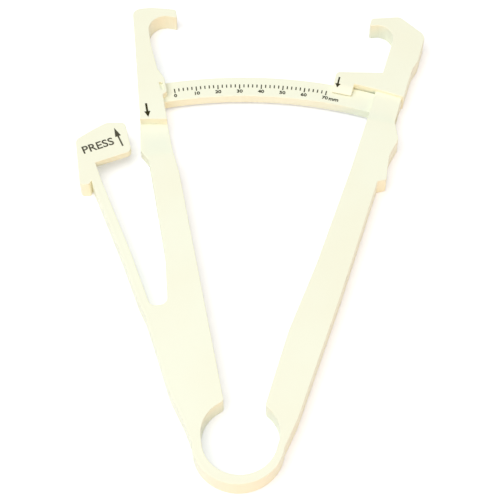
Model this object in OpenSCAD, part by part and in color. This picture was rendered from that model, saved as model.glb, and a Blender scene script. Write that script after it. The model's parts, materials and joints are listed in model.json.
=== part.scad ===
// Skinfold caliper: two long arms on an open spring loop, hooked jaws, a curved scale strip that runs
// through the right arm, and a press lever on the left arm whose arrow shows the right pressure.
// The caliper lies on its back. X runs across the arms, Y from the loop to the jaws, Z up through the
// thickness. Each arm is drawn against its closing line: the line through the centre of the loop on which
// its jaw meets the other one. The two lines stand apart by the opening at rest.

/* [Jaws and scale] */
// Distance from the centre of the loop to the middle of the jaws
jaw_reach = 181.5; // [178:0.5:185]
// Opening of the jaws at rest, along their arc
rest_opening = 74.5; // [72:0.5:76]
// Highest reading printed on the scale
scale_end = 70; // [50:10:70]
// Reading between two ticks
tick_step = 2; // [1:1:5]
// Reading between two long ticks
long_tick_step = 10; // [10:10:20]
// How far the pointer and the zero tick stand left of the closing lines, in degrees
index_turn = 1.85; // [1.6:0.05:1.9]

/* [Body] */
// Thickness of the arms, jaws and loop
body_t = 7; // [6.6:0.1:8]
// Radius of the hole in the spring loop
bore_r = 11.9; // [11.6:0.1:12]
// How far the upper half of the hole is drawn up toward the jaws
bore_rise = 2.5; // [2:0.1:3]
// Radius of the outside of the spring loop
loop_r = 14.6; // [14.4:0.1:14.9]
// Radius of the rounded ends of the arms beside the mouth of the loop
nose_r = 1.6; // [1:0.1:2]
// Depth of a contact foot, back from its closing line
foot_depth = 3.4; // [3:0.1:3.8]
// Radius of the throat behind each contact foot
throat_r = 6.3; // [6:0.1:6.5]

/* [Scale strip] */
// Inner radius of the strip, about the centre of the loop
strip_in_r = 141; // [140.8:0.1:141.4]
// Outer radius of the strip
strip_out_r = 150; // [149.6:0.1:150.2]
// Height of the back of the strip
strip_back_z = 0.95; // [0.95:0.05:1.1]
// Thickness of the strip
strip_t = 3.7; // [3.4:0.1:3.7]
// Gap between the strip and the guide that it slides in
strip_gap = 0.25; // [0.2:0.05:0.3]
// How far the right end of the strip reaches past the right closing line, in degrees
strip_tail = 7.5; // [7:0.1:7.6]
// Height of the front of the guide, one step below the arm
guide_top_z = 5.8; // [5.6:0.1:6]

/* [Press lever] */
// Height of the shelf that the press pad slides over
shelf_z = 4; // [3.8:0.1:4.1]
// Height of the back of the press pad
pad_back_z = 4.25; // [4.2:0.05:4.4]

/* [Print] */
// Thickness of the printed ink
ink_t = 0.08; // [0.06:0.01:0.1]
// Width of a tick
tick_w = 0.4; // [0.3:0.05:0.6]
// Length of a short tick
tick_len = 1.4; // [1.2:0.1:2]
// Length of a long tick
long_tick_len = 2; // [2:0.1:3]
// Radius of the outer ends of the ticks
tick_out_r = 146.5; // [146:0.1:147]

/* [Hidden] */
$fn = 240;

// Centre of the loop, set so that the origin is the middle of the face that the caliper lies on
loop_centre = [4.76, -83.12, 0];

deg_per_mm = 180 / (PI * jaw_reach);
half_open = rest_opening * deg_per_mm / 2;
loop_shift = [-0.4, -0.6];  // the outside of the loop lies off the hole, which thickens its lower left wall
joint_turn = 5;             // where each arm meets the loop, in degrees above square to its closing line
cut = 1;                    // how far a cutter passes the surface that it cuts
corner_steps = 10;

ivory = "ivory";
shaded_ivory = "lightyellow";
ink = "dimgray";

// ---- outlines --------------------------------------------------------------------------------------
// An outline is a list of [x, y, radius] corners; a corner without a radius stays sharp.

function xy(p) = [p[0], p[1]];
function unit(v) = v / norm(v);
function flip(p) = [-p[0], p[1]];
function turned(v, a) = [v[0] * cos(a) - v[1] * sin(a), v[0] * sin(a) + v[1] * cos(a)];
function arc(centre, r, from, to, steps) =
    [for (i = [0:steps]) let (a = from + (to - from) * i / steps) centre + r * [cos(a), sin(a)]];

function round_corner(before, at, after, r) =
    let (u = unit(before - at), v = unit(after - at),
         half = acos(u * v) / 2,
         reach = r / tan(half),
         centre = at + unit(u + v) * r / sin(half),
         p = at + u * reach - centre,
         q = at + v * reach - centre,
         turn = atan2(p[0] * q[1] - p[1] * q[0], p * q))
    arc(centre, r, atan2(p[1], p[0]), atan2(p[1], p[0]) + turn, corner_steps);

function rounded(path) =
    [for (i = [0:len(path) - 1])
        let (n = len(path), r = path[i][2])
        each (r == undef ? [xy(path[i])]
              : round_corner(xy(path[(i + n - 1) % n]), xy(path[i]), xy(path[(i + 1) % n]), r))];

// The lower end of an arm right of its closing line: from the joint up along the hole, then round the nose
joint_line = [cos(joint_turn), sin(joint_turn)];
function arm_root(edge_x) =
    let (nose = [edge_x + nose_r, sqrt(pow(bore_r + nose_r, 2) - pow(edge_x + nose_r, 2))],
         toward = atan2(nose[1], nose[0]),
         rise = [0, bore_rise])
    concat([joint_line * bore_r], arc(rise, bore_r, 0, toward, 20),
           arc(nose + rise, nose_r, 180 + toward, 180, 8));

// Where the joint line meets the outside of the loop, for the arm on a side: 1 is right, -1 left
function joint_out(side) =
    let (centre = turned([side * loop_shift[0], loop_shift[1]], half_open),
         along = joint_line * centre)
    joint_line * (along + sqrt(pow(loop_r, 2) - centre * centre + pow(along, 2)));

// ---- frames and basic solids -----------------------------------------------------------------------

module at_loop() translate(loop_centre) children();
module on_left() at_loop() rotate([0, 0, half_open]) children();
module on_right() at_loop() rotate([0, 0, -half_open]) children();

module slab(points, low, high) translate([0, 0, low]) linear_extrude(high - low) polygon(points);

// A ring of a given section about the loop, between two turns counted from the closing line
module ring(section, from, to)
    rotate([0, 0, 90 + from]) rotate_extrude(angle = to - from) polygon(section);
function band(in_r, out_r, low, high) = [[in_r, low], [out_r, low], [out_r, high], [in_r, high]];

// A printed arrow that points to -Y, with its tip at the start
module arrow(length, head_w, head_l, shaft_w)
    slab([[0, 0], [head_w / 2, head_l], [shaft_w / 2, head_l], [shaft_w / 2, length],
          [-shaft_w / 2, length], [-shaft_w / 2, head_l], [-head_w / 2, head_l]], 0, ink_t);

// ---- spring loop -----------------------------------------------------------------------------------

module spring_loop() color(ivory) at_loop() difference() {
    translate(loop_shift) cylinder(r = loop_r, h = body_t);
    translate([0, 0, -cut]) cylinder(r = bore_r, h = body_t + 2 * cut);
    side = 2 * loop_r;
    mouth = side * tan(joint_turn - half_open);
    slab([[0, 0], [side, mouth], [side, side], [-side, side], [-side, mouth]], -cut, body_t + cut);
}

// ---- left arm, seen from its closing line ----------------------------------------------------------

shelf_low_y = 115;
step_left = [-18.7, 132.2];
step_right = [-8.9, 130.8];
left_neck_y = 168;
left_arm_outline = [[-7.2, 106], [-8.2, shelf_low_y], [-17.3, shelf_low_y, 0.8], [-15.8, 72, 60],
                    [-17, 52.6, 2.7], [-22.7, 52.6, 2.4], [-23.2, 55], [-26.6, 55], [-24.8, 49, 20],
                    [-22.4, 34.8], [-20.1, 20, 40], [-16.6, 8.6, 20], flip(joint_out(-1))];
shelf_outline = [[-8.2, shelf_low_y], step_right, step_left, [-19.8, 120, 2], [-17.3, shelf_low_y]];
left_head_outline = [step_right, [-9.3, 142.6, 0.6], [-7.6, 143.8, 0.6], [-7.9, 150.6, 1.5],
                     [-10, 155.5, 4], [-11.2, left_neck_y], [-17.1, left_neck_y], step_left];
root_pocket = [[-10.1, 148.6], [-8.9, 148.3], [-8.4, 144.9], [-9.7, 145.1]];
root_pocket_depth = 1;
left_throat = [-4.9, 174.9];
left_jaw_outline = concat(rounded([[-foot_depth, 181], [-foot_depth, 185], [-9.6, 186.5, 9],
                                   [-16.4, 186.4, 3.2], [-17.1, left_neck_y], [-11.2, left_neck_y]]),
                          arc(left_throat, throat_r, 180, 78, 14));
left_foot_outline = [[-foot_depth, 185], [0, 184, 1], [0, 179.6, 0.6], [-foot_depth, 181]];

module left_arm() color(ivory) on_left()
    slab(concat(rounded(left_arm_outline), [for (p = arm_root(3.2)) flip(p)]), 0, body_t);

module index_shelf() color(shaded_ivory) on_left() slab(rounded(shelf_outline), 0, shelf_z);

module left_head() color(ivory) on_left() difference() {
    slab(rounded(left_head_outline), 0, body_t);
    slab(root_pocket, body_t - root_pocket_depth, body_t + cut);
}

module left_jaw() color(ivory) on_left() slab(left_jaw_outline, 0, body_t);

module left_foot() color(ivory) on_left() slab(rounded(left_foot_outline), 0, body_t);

// ---- scale strip -----------------------------------------------------------------------------------

strip_top_z = strip_back_z + strip_t;

module scale_strip() color(ivory) on_left() difference() {
    ring(band(strip_in_r, strip_out_r, strip_back_z, strip_top_z), -2 * half_open - strip_tail, 6);
    slab(rounded(left_head_outline), -cut, body_t + cut);
    slab([[-30, 130], [-9.3, 130], [-9.3, 142.6], [-10.5, 160], [-30, 160]], -cut, body_t + cut);
}

module scale_ticks() color(ink) on_left()
    for (reading = [0:tick_step:scale_end]) {
        length = reading % long_tick_step == 0 ? long_tick_len : tick_len;
        rotate([0, 0, index_turn - reading * deg_per_mm])
            translate([-tick_w / 2, tick_out_r - length, strip_top_z]) cube([tick_w, length, ink_t]);
    }

module left_arrow() color(ink) on_left()
    translate([-15.6, 132.75, body_t]) rotate([0, 0, 2]) arrow(6.4, 2.2, 2.6, 0.75);

// ---- right arm, seen from its closing line ---------------------------------------------------------

guide_low_y = 136;
guide_in_x = 9.3;
arm_out_x = 19.2;
head_in_r = strip_out_r + 0.4;
right_neck_y = 163;
neck_in_x = 10;
right_arm_outline = [[4.5, 22], [4.6, 42, 60], [7, 70, 90], [8.9, 112], [guide_in_x, guide_low_y],
                     [arm_out_x, guide_low_y], [arm_out_x, 108], [17.9, 60, 200], [15.7, 12, 30], joint_out(1)];
finger_rest_outline = [[arm_out_x, 109], [22.1, 110.7, 1], [20.6, 121, 14], [22.3, 129.3, 2],
                       [arm_out_x, 137.2]];
guide_outline = [[guide_in_x, guide_low_y], [arm_out_x, guide_low_y], [arm_out_x, 151], [guide_in_x, 151]];
right_head_outline = [[neck_in_x, 145], [19.8, 145], [20.2, right_neck_y], [neck_in_x, right_neck_y]];
right_throat = [3.8, 175];
right_jaw_outline = concat(rounded([[neck_in_x, right_neck_y], [20.2, right_neck_y], [21.4, 167.8, 4],
                                    [21.4, 180.8, 4], [10.2, 187.6, 2.5], [foot_depth, 185.2],
                                    [foot_depth, 181.3]]),
                           arc(right_throat, throat_r, 93, 0, 14));
right_foot_outline = [[foot_depth, 181.3], [0, 180, 0.6], [0, 184, 1], [foot_depth, 185.2]];

module right_arm() color(ivory) on_right()
    slab(concat(rounded(right_arm_outline), arm_root(4.5)), 0, body_t);

module finger_rest() color(ivory) on_right() slab(rounded(finger_rest_outline), 0, body_t);

// The strip slides through this guide, between its back plate and the bridge in front
module strip_guide() color(shaded_ivory) on_right() difference() {
    slab(guide_outline, 0, guide_top_z);
    ring(band(head_in_r, head_in_r + 10, -cut, body_t + cut), -12, 2);
    ring(band(strip_in_r - 0.4, head_in_r + cut, strip_back_z - strip_gap, strip_top_z + strip_gap), -12, 2);
}

module right_head() color(ivory) on_right() difference() {
    slab(right_head_outline, 0, body_t);
    translate([0, 0, -cut]) cylinder(r = head_in_r, h = body_t + 2 * cut);
}

// The tab carries the pointer. Its nose slopes down over the outer edge of the strip and holds it back.
nose_in_r = 146;
nose_out_r = head_in_r - 0.6;  // the slope ends short of the outer edge of the slot, where the tab begins
nose_right_turn = -0.4;
nose_left_turn = 2.45;
nose_edge_z = 5.4;
tail_w = 0.6;
tab_left = [-sin(nose_left_turn), cos(nose_left_turn)];

module pointer_tab() color(ivory) on_right() {
    difference() {
        slab(rounded([tab_left * 145, [neck_in_x, 145], [neck_in_x, 158.6], concat(tab_left * 154.6, 1.6)]),
             0, body_t);
        translate([0, 0, -cut]) cylinder(r = head_in_r, h = body_t + 2 * cut);
    }
    ring([[nose_in_r, strip_top_z + strip_gap], [head_in_r + 1, strip_top_z + strip_gap],
          [head_in_r + 1, body_t], [nose_out_r, body_t], [nose_in_r, nose_edge_z]],
         nose_right_turn, nose_left_turn);
}

module right_jaw() color(ivory) on_right() slab(right_jaw_outline, 0, body_t);

module right_foot() color(ivory) on_right() slab(rounded(right_foot_outline), 0, body_t);

// The tail of the pointer arrow lies on the flat of the tab and its head on the slope of the nose
module pointer_arrow() color(ink) on_right() rotate([0, 0, index_turn]) translate([0, nose_out_r, body_t]) {
    rotate([atan2(body_t - nose_edge_z, nose_out_r - nose_in_r), 0, 0])
        translate([0, -2.1, 0]) arrow(2.2, 2, 1.5, tail_w);
    translate([-tail_w / 2, -0.05, 0]) cube([tail_w, 2.45, ink_t]);
}

// ---- press lever, seen from the left closing line --------------------------------------------------

lever_outline = [[-23.2, 55], [-27.1, 74.5, 200], [-34.7, 107], [-38.2, 107], [-30.6, 74.5, 200], [-26.6, 55]];
pad_left_x = -36.2;
thumb_outline = [[-34.7, 107], [pad_left_x, 114.6], [pad_left_x, 129.6], [-42.4, 126, 2.5],
                 [-42.4, 105.6, 1.3], [-39, 105.4, 1], [-38.2, 107]];
pad_outline = [[pad_left_x, 114.6], [-22.9, 118, 2.2], [-24.2, 131.4, 2], [-31, 132.2, 3], [pad_left_x, 129.6]];

module lever_spring() color(ivory) on_left() slab(rounded(lever_outline), 0, body_t);

module thumb_rest() color(ivory) on_left() slab(rounded(thumb_outline), 0, body_t);

module press_pad() color(ivory) on_left() slab(rounded(pad_outline), pad_back_z, body_t);

module press_arrow() color(ink) on_left()
    translate([-28.3, 129.3, body_t]) rotate([0, 0, 195.8]) arrow(8.9, 2.1, 4.1, 0.55);

spring_loop();
left_arm();
index_shelf();
left_head();
left_jaw();
left_foot();
scale_strip();
scale_ticks();
left_arrow();
right_arm();
finger_rest();
strip_guide();
right_head();
pointer_tab();
right_jaw();
right_foot();
pointer_arrow();
lever_spring();
thumb_rest();
press_pad();
press_arrow();
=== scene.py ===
# Skinfold caliper in ivory plastic: its soft-edged mouldings, its printed marks and a plain studio.
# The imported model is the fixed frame. Lengths are modelled in millimetres and stored in metres.

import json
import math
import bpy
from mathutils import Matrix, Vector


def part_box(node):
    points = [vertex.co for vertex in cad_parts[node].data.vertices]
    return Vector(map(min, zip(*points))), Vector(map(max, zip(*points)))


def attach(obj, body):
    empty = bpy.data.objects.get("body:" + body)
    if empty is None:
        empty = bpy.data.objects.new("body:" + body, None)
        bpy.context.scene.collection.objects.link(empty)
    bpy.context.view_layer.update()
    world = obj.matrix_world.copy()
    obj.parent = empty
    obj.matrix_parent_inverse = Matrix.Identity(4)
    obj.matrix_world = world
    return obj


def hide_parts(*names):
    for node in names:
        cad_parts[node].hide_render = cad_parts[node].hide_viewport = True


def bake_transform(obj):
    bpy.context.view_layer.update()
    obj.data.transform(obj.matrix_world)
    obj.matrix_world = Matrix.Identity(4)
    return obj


bl_info = {
    "name": "Skinfold caliper",
    "version": (1, 0, 0),
    "blender": (4, 5, 0),
    "location": "3D View > Sidebar > Caliper",
    "description": "Makes a moulded skinfold caliper with its printed scale, and the studio round it",
    "category": "Object",
}

import bmesh
import bpy
from bpy.props import FloatProperty, FloatVectorProperty, IntProperty, PointerProperty
from mathutils import Matrix, Vector

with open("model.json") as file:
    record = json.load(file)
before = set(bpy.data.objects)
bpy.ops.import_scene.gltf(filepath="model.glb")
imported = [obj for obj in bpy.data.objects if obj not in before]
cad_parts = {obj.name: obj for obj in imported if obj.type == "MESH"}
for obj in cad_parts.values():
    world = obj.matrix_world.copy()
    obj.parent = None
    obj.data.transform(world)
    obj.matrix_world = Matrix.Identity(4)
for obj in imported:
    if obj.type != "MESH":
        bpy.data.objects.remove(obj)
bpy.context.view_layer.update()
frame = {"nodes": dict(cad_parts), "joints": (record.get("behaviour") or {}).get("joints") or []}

MM = 0.001
WELD = 0.0005        # corners of a CAD node's triangles that lie closer than this are one corner
HAIR = 0.005         # how far a wall is drawn out so that solids which only touch overlap
TWIN = 6 * HAIR      # corners closer than this came from the same corner of two solids
LEVEL_STEP = 0.05    # the level faces of the mouldings lie at multiples of this height
OUTER_EDGE = math.radians(30)    # an outer edge that turns by more than this is rounded
SHARP_EDGE = math.radians(35)    # an edge that turns by more than this is shaded as a sharp one

JAW_REACH = 181.5    # from the centre of the loop to the middle of the jaws
REST_OPENING = 74.5  # between the jaws at rest, along their arc
HALF_OPEN = math.degrees(REST_OPENING / JAW_REACH / 2)
LOOP_CENTRE = Vector(frame["joints"][0]["pos_m"]).to_2d().to_3d() / MM

LEFT_NODES = ("left_arm", "index_shelf", "left_head", "left_jaw", "left_foot", "scale_strip")
RIGHT_NODES = ("right_arm", "finger_rest", "strip_guide", "right_head", "pointer_tab", "right_jaw",
               "right_foot")
LEVER_NODES = ("lever_spring", "thumb_rest", "press_pad")


# ---- places ----------------------------------------------------------------------------------------

def about_loop(turn):
    """A frame on the centre of the loop, turned in degrees from the Y axis."""
    return Matrix.Translation(LOOP_CENTRE) @ Matrix.Rotation(math.radians(turn), 4, "Z")


def on_left(x, y, z=0.0):
    """A point in millimetres, given across and along the closing line of the left jaw."""
    return about_loop(HALF_OPEN) @ Vector((x, y, z))


def linear(hex_colour):
    """An sRGB hex colour as linear red, green and blue."""
    channels = (int(hex_colour[i:i + 2], 16) / 255 for i in (0, 2, 4))
    return tuple(c / 12.92 if c <= 0.04045 else ((c + 0.055) / 1.055) ** 2.4 for c in channels)


# ---- settings --------------------------------------------------------------------------------------

class MouldingSettings(bpy.types.PropertyGroup):
    edge_radius: FloatProperty(
        name="Edge radius", description="Radius of the soft edges of the mouldings",
        default=0.22 * MM, min=0.05 * MM, max=0.25 * MM, precision=5, unit="LENGTH")
    edge_steps: IntProperty(
        name="Edge steps", description="Faces across each soft edge", default=3, min=1, max=6)
    ivory: FloatVectorProperty(
        name="Ivory", description="Colour of the plastic", subtype="COLOR", min=0, max=1,
        default=linear("F7FBE6"))
    ivory_cloud: FloatVectorProperty(
        name="Ivory clouds", description="Colour of the faint clouds in the plastic", subtype="COLOR",
        min=0, max=1, default=linear("F6F8E1"))


class PrintSettings(bpy.types.PropertyGroup):
    numeral_height: FloatProperty(
        name="Numeral height", description="Height of the numerals on the scale",
        default=1.5 * MM, min=1 * MM, max=2.5 * MM, precision=5, unit="LENGTH")
    numeral_radius: FloatProperty(
        name="Numeral radius", description="Distance of the numerals from the centre of the loop",
        default=143.3 * MM, min=142 * MM, max=145 * MM, precision=5, unit="LENGTH")
    word_height: FloatProperty(
        name="Word height", description="Height of the letters on the press pad",
        default=3.4 * MM, min=2 * MM, max=4 * MM, precision=5, unit="LENGTH")
    ink_depth: FloatProperty(
        name="Ink depth", description="Thickness of the printed ink",
        default=0.08 * MM, min=0.05 * MM, max=0.1 * MM, precision=5, unit="LENGTH")
    scale_ink: FloatVectorProperty(
        name="Scale ink", description="Colour of the ticks, numerals and scale arrows", subtype="COLOR",
        min=0, max=1, default=linear("2E2E12"))
    press_ink: FloatVectorProperty(
        name="Press ink", description="Colour of the print on the press pad", subtype="COLOR",
        min=0, max=1, default=linear("4E4D3F"))


class StudioSettings(bpy.types.PropertyGroup):
    key_power: FloatProperty(
        name="Key power", description="Power of the large lamp overhead", default=67, min=0,
        unit="POWER")
    fill_power: FloatProperty(
        name="Fill power", description="Power of the warm, low lamp in front", default=37, min=0,
        unit="POWER")
    sky_strength: FloatProperty(
        name="Surround", description="Strength of the even light from all round", default=0.45,
        min=0)
    camera_distance: FloatProperty(
        name="Camera distance", description="Distance from the camera to the point that it looks at",
        default=478.8 * MM, min=0.2, unit="LENGTH")
    camera_elevation: FloatProperty(
        name="Camera elevation", description="Height of the camera over the horizon",
        default=math.radians(56), subtype="ANGLE")
    focal_length: FloatProperty(
        name="Focal length", description="Focal length of the lens", default=101.72, min=20,
        unit="CAMERA")


# ---- mesh tools ------------------------------------------------------------------------------------

def add_object(name, data):
    """Links a new object to the scene, at the origin."""
    obj = bpy.data.objects.new(name, data)
    bpy.context.scene.collection.objects.link(obj)
    return obj


def applied(obj):
    """The mesh of an object with its modifiers applied. The object itself is removed."""
    mesh = bpy.data.meshes.new_from_object(obj.evaluated_get(bpy.context.evaluated_depsgraph_get()))
    bpy.data.objects.remove(obj)
    return mesh


def join_facets(bm):
    """Joins the facets of each flat face. A face that looks up or down may be only nearly flat."""
    flat, nearly_flat, upright = math.radians(0.05), math.radians(1), 0.85
    bmesh.ops.dissolve_limit(bm, angle_limit=flat, verts=bm.verts, edges=bm.edges)
    bm.normal_update()
    level = [edge for edge in bm.edges if all(abs(face.normal.z) > upright for face in edge.link_faces)]
    bmesh.ops.dissolve_limit(bm, angle_limit=nearly_flat, verts=[], edges=level)
    bmesh.ops.dissolve_limit(bm, angle_limit=flat, verts=bm.verts, edges=bm.edges)
    bm.normal_update()


def united(names):
    """The named CAD solids as one closed mesh in millimetres, without the seams between them.
    Each solid's walls are first drawn out by a hair, so that solids which only touch are joined too."""
    copies = []
    for name in names:
        bm = bmesh.new()
        bm.from_mesh(frame["nodes"][name].data)
        bmesh.ops.scale(bm, vec=(1 / MM,) * 3, verts=bm.verts)
        bmesh.ops.remove_doubles(bm, verts=bm.verts, dist=WELD)
        join_facets(bm)
        for vert in bm.verts:
            vert.co += vert.normal.to_2d().to_3d().normalized() * HAIR
        mesh = bpy.data.meshes.new(name + "_copy")
        bm.to_mesh(mesh)
        bm.free()
        copies.append(add_object(name + "_copy", mesh))
    for other in copies[1:]:
        join = copies[0].modifiers.new("join", "BOOLEAN")
        join.operation, join.solver, join.object = "UNION", "MANIFOLD", other
    mesh = applied(copies[0])
    for other in copies[1:]:
        bpy.data.objects.remove(other)
    return mesh


def softened(mesh, radius, steps):
    """The mesh with its outer edges rounded."""
    bm = bmesh.new()
    bm.from_mesh(mesh)
    bmesh.ops.remove_doubles(bm, verts=bm.verts, dist=TWIN)
    for vert in bm.verts:
        # Corners that merged on a slope go back to a level, so that the faces between them are flat
        vert.co.z = LEVEL_STEP * round(vert.co.z / LEVEL_STEP)
    join_facets(bm)
    if not all(edge.is_manifold for edge in bm.edges):
        raise RuntimeError("the joined moulding is not closed")
    outer = [edge for edge in bm.edges if edge.calc_face_angle_signed() > OUTER_EDGE]
    bmesh.ops.bevel(bm, geom=outer, offset=radius, offset_type="OFFSET", segments=steps, profile=0.5,
                    affect="EDGES", clamp_overlap=False, loop_slide=False, material=-1)
    bm.to_mesh(mesh)
    bm.free()
    return mesh


def part_at(bm, point, normal, reach):
    """Cuts the moulding across at a point and closes both ends. Past the reach it stays whole."""
    geometry = bm.verts[:] + bm.edges[:] + bm.faces[:]
    cut = bmesh.ops.bisect_plane(bm, geom=geometry, dist=1e-5, plane_co=point, plane_no=normal)
    near = [e for e in cut["geom_cut"] if isinstance(e, bmesh.types.BMEdge)
            and ((e.verts[0].co + e.verts[1].co) / 2 - point).length < reach]
    bmesh.ops.split_edges(bm, edges=near)
    bmesh.ops.holes_fill(bm, edges=[e for e in bm.edges if e.is_boundary], sides=0)


def keep_part(bm, point):
    """Keeps the closed part of the moulding that has the vertex nearest to a point."""
    seed = min(bm.verts, key=lambda v: (v.co - point).length_squared)
    kept, waiting = {seed}, [seed]
    while waiting:
        for edge in waiting.pop().link_edges:
            for vert in edge.verts:
                if vert not in kept:
                    kept.add(vert)
                    waiting.append(vert)
    bmesh.ops.delete(bm, geom=[v for v in bm.verts if v not in kept], context="VERTS")


def finished(name, bm):
    """The piece in metres, smooth across its soft edges while its flat faces stay flat."""
    if not all(edge.is_manifold for edge in bm.edges):
        raise RuntimeError(name + " is not closed")
    bmesh.ops.scale(bm, vec=(MM,) * 3, verts=bm.verts)
    bmesh.ops.recalc_face_normals(bm, faces=bm.faces)
    mesh = bpy.data.meshes.new(name)
    bm.to_mesh(mesh)
    bm.free()
    mesh.shade_smooth()
    mesh.set_sharp_from_angle(angle=SHARP_EDGE)
    rough = add_object("rough_" + name, mesh)
    rough.modifiers.new("flat_faces", "WEIGHTED_NORMAL").keep_sharp = True
    piece = add_object(name, applied(rough))
    piece.data.name = name
    return piece


def moulding(name, nodes, neighbours, cuts, seed):
    """One moulded piece in place of the CAD nodes. The neighbours carry its surface on to each cut.
    The part that lies at the seed point is kept."""
    settings = bpy.context.scene.caliper_moulding
    mesh = softened(united(nodes + neighbours), settings.edge_radius / MM, settings.edge_steps)
    bm = bmesh.new()
    bm.from_mesh(mesh)
    for cut in cuts:
        part_at(bm, *cut)
    keep_part(bm, seed)
    piece = finished(name, bm)
    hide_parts(*nodes)
    dress(piece.data, ivory_abs())
    return piece


# The loop is cut just below its centre, and the press lever where it leaves the arm.
# Each cut is a point, the way it faces and its reach.
LOOP_CUT = (LOOP_CENTRE + Vector((0, -1.6, 3.5)), Vector((0, 1, 0)), 30)
LEVER_CUT = (on_left(-25.2, 57.2, 3.5), (on_left(-25.9, 61) - on_left(-25.2, 57)).normalized(), 5)


# ---- materials -------------------------------------------------------------------------------------

def add_node(tree, kind, inputs=None, **settings):
    """Adds a node with its settings. An input gets a value or a link from another node's output."""
    node = tree.nodes.new(kind)
    for name, value in settings.items():
        setattr(node, name, value)
    for key, value in (inputs or {}).items():
        if isinstance(value, bpy.types.NodeSocket):
            tree.links.new(value, node.inputs[key])
        else:
            node.inputs[key].default_value = value
    return node


def per_mm(size):
    """The scale of a pattern whose features are this many millimetres across."""
    return 1 / (size * MM)


def dress(mesh, material):
    """Gives a mesh its one finished material."""
    mesh.materials.clear()
    mesh.materials.append(material)


def new_material(name):
    """A material and its node tree, empty. Where it is already made, it comes without its tree."""
    material = bpy.data.materials.get(name)
    if material:
        return material, None
    material = bpy.data.materials.new(name)
    material.use_nodes = True
    material.node_tree.nodes.clear()
    return material, material.node_tree


def ivory_abs():
    """ABS, injection moulded in a finely spark-eroded mould: satin pale ivory, no sharp highlight."""
    material, tree = new_material("ivory_abs_moulded")
    if tree is None:
        return material
    colours = bpy.context.scene.caliper_moulding
    place = add_node(tree, "ShaderNodeTexCoord").outputs["Object"]
    # Clouds where the melt flowed, about 30 mm across
    cloud = add_node(tree, "ShaderNodeTexNoise", {"Vector": place, "Scale": per_mm(30), "Detail": 2.0})
    spread = add_node(tree, "ShaderNodeMapRange", {
        "Value": cloud.outputs["Fac"], "From Min": 0.35, "From Max": 0.65})
    colour = add_node(tree, "ShaderNodeMix", {
        "Factor": spread.outputs["Result"], 6: (*colours.ivory, 1), 7: (*colours.ivory_cloud, 1)},
        data_type="RGBA")
    # Handling leaves patches of slightly different gloss, about 8 mm across
    patch = add_node(tree, "ShaderNodeTexNoise", {"Vector": place, "Scale": per_mm(8), "Detail": 3.0})
    gloss = add_node(tree, "ShaderNodeMapRange", {
        "Value": patch.outputs["Fac"], "To Min": 0.38, "To Max": 0.5})
    # The spark-eroded grain is about 0.2 mm; it is drawn at 0.6 mm so that it shows at all
    grain = add_node(tree, "ShaderNodeTexNoise", {"Vector": place, "Scale": per_mm(0.6), "Detail": 3.0})
    bump = add_node(tree, "ShaderNodeBump", {
        "Height": grain.outputs["Fac"], "Strength": 0.25, "Distance": 0.02 * MM})
    shader = add_node(tree, "ShaderNodeBsdfPrincipled", {
        "Base Color": colour.outputs[2], "Roughness": gloss.outputs["Result"],
        "Normal": bump.outputs["Normal"], "IOR": 1.53})
    add_node(tree, "ShaderNodeOutputMaterial", {"Surface": shader.outputs["BSDF"]})
    return material


def printed_ink(name, colour):
    """Pad-printed ink: matt and dark, a little thin and uneven where the pad left less of it."""
    material, tree = new_material(name)
    if tree is None:
        return material
    place = add_node(tree, "ShaderNodeTexCoord").outputs["Object"]
    # The ink thins in specks of about 0.4 mm
    speck = add_node(tree, "ShaderNodeTexNoise", {"Vector": place, "Scale": per_mm(0.4), "Detail": 2.0})
    thin = add_node(tree, "ShaderNodeMapRange", {
        "Value": speck.outputs["Fac"], "From Min": 0.5, "From Max": 0.8, "To Max": 0.25})
    # Where the ink is thin, a little of the plastic's tone shows through
    pale = tuple(0.75 * c + 0.25 * p for c, p in zip(colour, linear("B8B69C")))
    tone = add_node(tree, "ShaderNodeMix", {
        "Factor": thin.outputs["Result"], 6: (*colour, 1), 7: (*pale, 1)}, data_type="RGBA")
    bump = add_node(tree, "ShaderNodeBump", {
        "Height": speck.outputs["Fac"], "Strength": 0.2, "Distance": 0.01 * MM})
    shader = add_node(tree, "ShaderNodeBsdfPrincipled", {
        "Base Color": tone.outputs[2], "Roughness": 0.62, "Specular IOR Level": 0.1,
        "Normal": bump.outputs["Normal"]})
    add_node(tree, "ShaderNodeOutputMaterial", {"Surface": shader.outputs["BSDF"]})
    return material


# ---- printed words ---------------------------------------------------------------------------------

# Where the print stands, in degrees and millimetres from the closing line of the left jaw
NUMERAL_0_TURN = 1.85
UNIT_TURN = -21.56
LAST_NUMERAL = 70
WORD_PLACE = (-34.75, 122.05)
WORD_TURN = 14.6


def printed_word(name, text, height, width_share, weight, place):
    """A word in raised ink. The width share widens its letters, and the weight thickens them."""
    curve = bpy.data.curves.new(name, "FONT")
    # The letters are 1 thick until they get the depth of the ink
    curve.body, curve.extrude, curve.offset = text, 0.5, weight
    curve.align_x, curve.resolution_u = "CENTER", 4
    mesh = applied(add_object("word_" + name, curve))
    bm = bmesh.new()
    bm.from_mesh(mesh)
    bmesh.ops.remove_doubles(bm, verts=bm.verts, dist=1e-4)
    low, high = min(v.co.y for v in bm.verts), max(v.co.y for v in bm.verts)
    scale = height / (high - low)
    ink = bpy.context.scene.caliper_print.ink_depth / MM
    bmesh.ops.translate(bm, vec=(0, -(low + high) / 2, 0.5), verts=bm.verts)
    bmesh.ops.scale(bm, vec=(scale * width_share, scale, ink), verts=bm.verts)
    bmesh.ops.transform(bm, matrix=place, verts=bm.verts)
    return bm


def add_print(name, bm, body, material):
    """A piece of print on a body."""
    piece = finished(name, bm)
    dress(piece.data, material)
    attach(piece, body)


# ---- operators -------------------------------------------------------------------------------------

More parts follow.
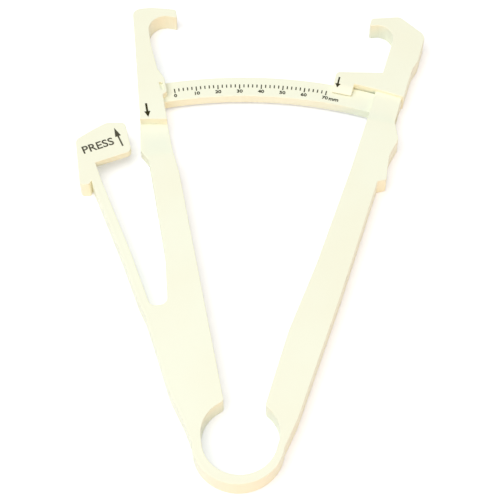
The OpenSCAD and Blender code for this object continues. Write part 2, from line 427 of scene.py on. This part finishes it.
class CALIPER_OT_left_side(bpy.types.Operator):
    """Make the left arm with its head, jaw, shelf and scale strip"""
    bl_idname = "caliper.left_side"
    bl_label = "Left side"

    def execute(self, context):
        piece = moulding("left_side_moulding", LEFT_NODES, LEVER_NODES + ("spring_loop",),
                         (LOOP_CUT, LEVER_CUT), on_left(-10, 185, 7))
        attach(piece, "left_side")
        return {"FINISHED"}


class CALIPER_OT_right_side(bpy.types.Operator):
    """Make the right arm with its finger rest, strip guide, head, pointer tab and jaw"""
    bl_idname = "caliper.right_side"
    bl_label = "Right side"

    def execute(self, context):
        piece = moulding("right_side_moulding", RIGHT_NODES, ("spring_loop",), (LOOP_CUT,),
                         about_loop(-HALF_OPEN) @ Vector((20, 175, 7)))
        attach(piece, "right_side")
        return {"FINISHED"}


class CALIPER_OT_spring_loop(bpy.types.Operator):
    """Make the spring loop as it stands at rest"""
    bl_idname = "caliper.spring_loop"
    bl_label = "Spring loop"

    def execute(self, context):
        piece = moulding("spring_loop_moulding", ("spring_loop",), ("left_arm", "right_arm"),
                         (LOOP_CUT,), LOOP_CENTRE + Vector((0, -15, 7)))
        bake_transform(piece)
        return {"FINISHED"}


class CALIPER_OT_press_lever(bpy.types.Operator):
    """Make the press lever with its thumb rest and pad, its thin arm as it stands at rest"""
    bl_idname = "caliper.press_lever"
    bl_label = "Press lever"

    def execute(self, context):
        piece = moulding("press_lever_moulding", LEVER_NODES, ("left_arm",), (LEVER_CUT,),
                         on_left(-42, 118, 7))
        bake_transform(piece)
        return {"FINISHED"}


class CALIPER_OT_scale_print(bpy.types.Operator):
    """Print the ticks, numerals, unit and arrows of the scale"""
    bl_idname = "caliper.scale_print"
    bl_label = "Scale print"

    def execute(self, context):
        settings = context.scene.caliper_print
        ink = printed_ink("scale_ink_pad_printed", tuple(settings.scale_ink))
        for name in ("scale_ticks", "left_arrow", "pointer_arrow"):
            dress(frame["nodes"][name].data, ink)
        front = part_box("scale_strip")[1].z / MM
        radius, height = settings.numeral_radius / MM, settings.numeral_height / MM
        for reading in range(0, LAST_NUMERAL + 1, 10):
            name = f"numeral_{reading}"
            turn = HALF_OPEN + NUMERAL_0_TURN - math.degrees(reading / JAW_REACH)
            place = about_loop(turn) @ Matrix.Translation((0, radius, front))
            bm = printed_word(name, str(reading), height, width_share=1.15, weight=0.03, place=place)
            add_print(name, bm, "left_side", ink)
        # The unit is three quarters as high as the numerals, and stands a little lower
        place = about_loop(HALF_OPEN + UNIT_TURN) @ Matrix.Translation((0, radius - 0.3, front))
        bm = printed_word("unit_mm", "mm", 0.75 * height, width_share=1.1, weight=0.03, place=place)
        add_print("unit_mm", bm, "left_side", ink)
        return {"FINISHED"}


class CALIPER_OT_press_print(bpy.types.Operator):
    """Print the control word and its arrow on the press pad"""
    bl_idname = "caliper.press_print"
    bl_label = "Press print"

    def execute(self, context):
        settings = context.scene.caliper_print
        ink = printed_ink("press_ink_pad_printed", tuple(settings.press_ink))
        dress(frame["nodes"]["press_arrow"].data, ink)
        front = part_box("press_pad")[1].z / MM
        place = (about_loop(HALF_OPEN) @ Matrix.Translation((*WORD_PLACE, front))
                 @ Matrix.Rotation(math.radians(WORD_TURN), 4, "Z"))
        bm = printed_word("press_word", "PRESS", settings.word_height / MM, width_share=1.0,
                          weight=0.012, place=place)
        add_print("press_word", bm, "press_lever", ink)
        return {"FINISHED"}


# ---- studio ----------------------------------------------------------------------------------------

# The point that the camera looks at, and how far it is turned and rolled in degrees
AIM = Vector((3.14, -12.075, 7)) * MM
CAMERA_TURN = 4.4
CAMERA_ROLL = -0.632

# Each lamp is its size and its place from the aim, in metres, and its tint
KEY_LAMP = (3.2, Vector((-0.9, -0.3, 2.5)), "FFFFFF")
FILL_LAMP = (1.2, Vector((1.1, -2.8, 0.5)), "FFBA64")

FLOOR_HALF = 2               # metres from the middle of the floor to its sides
FLOOR_GAP = 0.05 * MM        # keeps the floor clear of the caliper's flat back
FLOOR_GLOW = 0.3             # lifts the lit paper to white and leaves the shadow on it


def seen(tree):
    """1 where the camera sees a thing itself, in a reflection or through another, and 0 elsewhere."""
    rays = add_node(tree, "ShaderNodeLightPath")
    share = rays.outputs["Is Camera Ray"]
    for kind in ("Is Glossy Ray", "Is Transmission Ray"):
        either = add_node(tree, "ShaderNodeMath", {0: share, 1: rays.outputs[kind]}, operation="MAXIMUM")
        share = either.outputs[0]
    return share


class CALIPER_OT_studio(bpy.types.Operator):
    """Make the pale floor, the soft lamps and the camera"""
    bl_idname = "caliper.studio"
    bl_label = "Studio"

    def execute(self, context):
        settings = context.scene.caliper_studio
        self.floor()
        self.surround(context, settings)
        self.lamp("key_lamp", settings.key_power, *KEY_LAMP)
        self.lamp("fill_lamp", settings.fill_power, *FILL_LAMP)
        self.camera(context, settings)
        return {"FINISHED"}

    def floor(self):
        """A wide pale floor that shows white to the camera and keeps the object's shadow."""
        bm = bmesh.new()
        bmesh.ops.create_grid(bm, x_segments=1, y_segments=1, size=FLOOR_HALF)
        bmesh.ops.translate(bm, vec=(0, 0, -FLOOR_GAP), verts=bm.verts)
        mesh = bpy.data.meshes.new("floor")
        bm.to_mesh(mesh)
        bm.free()
        floor = add_object("floor", mesh)
        material, tree = new_material("floor_white_paper")
        pale = add_node(tree, "ShaderNodeBsdfDiffuse", {"Color": (*linear("F0F1F3"), 1)})
        level = add_node(tree, "ShaderNodeMath", {0: seen(tree), 1: FLOOR_GLOW}, operation="MULTIPLY")
        glow = add_node(tree, "ShaderNodeEmission", {"Strength": level.outputs[0]})
        both = add_node(tree, "ShaderNodeAddShader", {0: pale.outputs[0], 1: glow.outputs[0]})
        add_node(tree, "ShaderNodeOutputMaterial", {"Surface": both.outputs[0]})
        mesh.materials.append(material)

    def surround(self, context, settings):
        """Even light from all round, and a plain pale grey where the camera or a reflection sees it."""
        world = bpy.data.worlds.new("studio_surround")
        world.use_nodes = True
        tree = world.node_tree
        tree.nodes.clear()
        level = add_node(tree, "ShaderNodeMapRange", {
            "Value": seen(tree), "To Min": settings.sky_strength, "To Max": 1.0})
        light = add_node(tree, "ShaderNodeBackground", {"Strength": level.outputs["Result"]})
        add_node(tree, "ShaderNodeOutputWorld", {"Surface": light.outputs[0]})
        context.scene.world = world
        context.scene.view_settings.view_transform = "Standard"

    def lamp(self, name, power, size, place, tint):
        """A large soft lamp that faces the object."""
        data = bpy.data.lights.new(name, "AREA")
        data.energy, data.size, data.color = power, size, linear(tint)
        lamp = add_object(name, data)
        lamp.location = AIM + place
        lamp.rotation_euler = (-place).to_track_quat("-Z", "Y").to_euler()

    def camera(self, context, settings):
        """The camera stands in front of the loop and well above it."""
        data = bpy.data.cameras.new("camera")
        data.lens, data.sensor_width = settings.focal_length, 36.0
        camera = add_object("camera", data)
        camera.matrix_world = (Matrix.Translation(AIM)
                               @ Matrix.Rotation(math.radians(CAMERA_TURN), 4, "Z")
                               @ Matrix.Rotation(math.radians(90) - settings.camera_elevation, 4, "X")
                               @ Matrix.Rotation(math.radians(CAMERA_ROLL), 4, "Z")
                               @ Matrix.Translation((0, 0, settings.camera_distance)))
        context.scene.camera = camera


# ---- panel and registration ------------------------------------------------------------------------

OPERATORS = (CALIPER_OT_left_side, CALIPER_OT_right_side, CALIPER_OT_spring_loop,
             CALIPER_OT_press_lever, CALIPER_OT_scale_print, CALIPER_OT_press_print, CALIPER_OT_studio)
SETTINGS = {"caliper_moulding": MouldingSettings, "caliper_print": PrintSettings,
            "caliper_studio": StudioSettings}


class CALIPER_PT_sidebar(bpy.types.Panel):
    """Lists the settings and the pieces of the caliper"""
    bl_label = "Skinfold caliper"
    bl_space_type = "VIEW_3D"
    bl_region_type = "UI"
    bl_category = "Caliper"

    def draw(self, context):
        for attribute, group in SETTINGS.items():
            box = self.layout.box()
            for setting in group.__annotations__:
                box.prop(getattr(context.scene, attribute), setting)
        for operator in OPERATORS:
            self.layout.operator(operator.bl_idname)


CLASSES = (*SETTINGS.values(), *OPERATORS, CALIPER_PT_sidebar)


def register():
    for cls in CLASSES:
        bpy.utils.register_class(cls)
    for attribute, group in SETTINGS.items():
        setattr(bpy.types.Scene, attribute, PointerProperty(type=group))


def unregister():
    for attribute in SETTINGS:
        delattr(bpy.types.Scene, attribute)
    for cls in reversed(CLASSES):
        bpy.utils.unregister_class(cls)


def main():
    register()
    for operator in OPERATORS:
        getattr(bpy.ops.caliper, operator.bl_idname.split(".")[1])()


if __name__ == "__main__":
    main()
